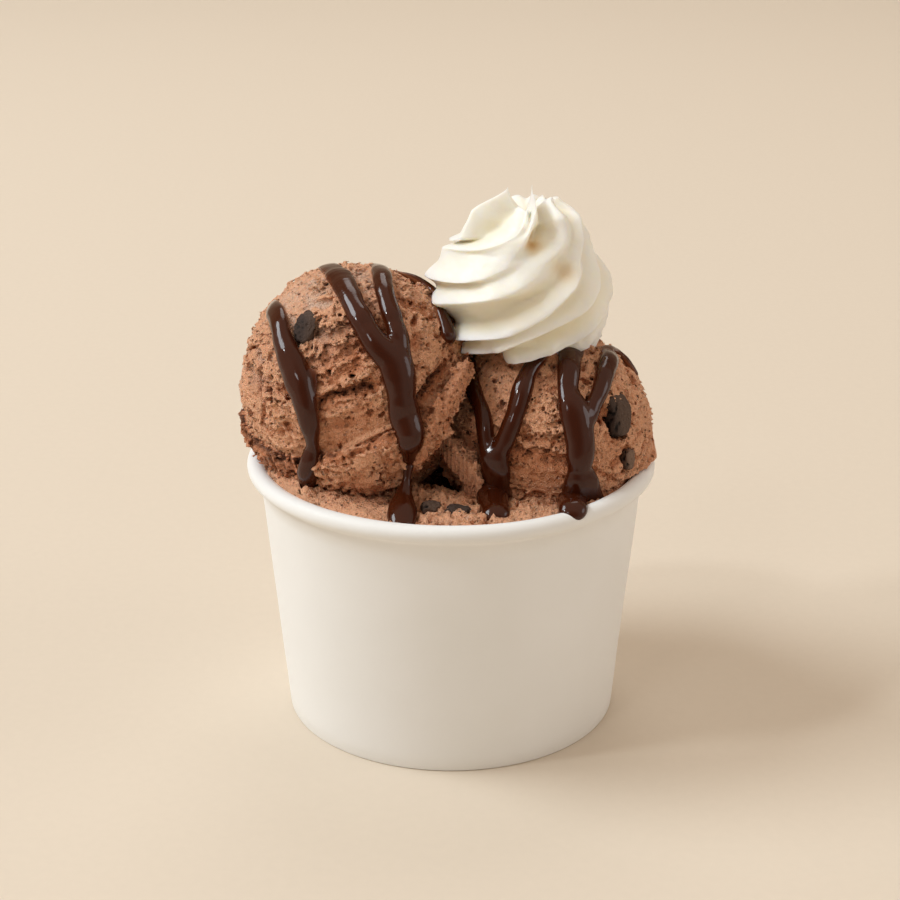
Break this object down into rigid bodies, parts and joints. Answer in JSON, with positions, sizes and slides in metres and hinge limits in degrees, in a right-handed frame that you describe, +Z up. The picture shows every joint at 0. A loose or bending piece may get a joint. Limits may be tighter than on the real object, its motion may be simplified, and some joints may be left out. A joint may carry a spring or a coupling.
{
  "type": "ice cream sundae in a paper cup",
  "caption": "Chocolate ice cream scoops in a plain paper cup, with fudge streams, cookie pieces and a piped swirl of whipped cream.",
  "frame": {"origin": "centre of the cup's foot, on the surface that the cup stands on", "axes": "+Z up along the cup's axis, -Y towards the front, +X to the right, where the whipped cream is"},
  "size_m": [0.0987, 0.097, 0.13],
  "materials": {
    "paper": "smooth white coated paper, matt to satin",
    "ice_cream": "milk-chocolate ice cream, torn and porous, with glossy dark fudge where it runs",
    "whipped_cream": "smooth warm-white whipped cream, softly translucent",
    "cookie": "dark chocolate cookie, rough and crumbly"
  },
  "bodies": {
    "root": {"cup_wall": "paper", "cup_base": "paper", "ice_cream_fill": "ice_cream", "scoop_left": "ice_cream", "scoop_right": "ice_cream", "whipped_cream": "whipped_cream", "cookie_left": "cookie", "cookie_right": "cookie", "cookie_right_low": "cookie", "cookie_front_left": "cookie", "cookie_front_right": "cookie"}
  },
  "joints": []
}
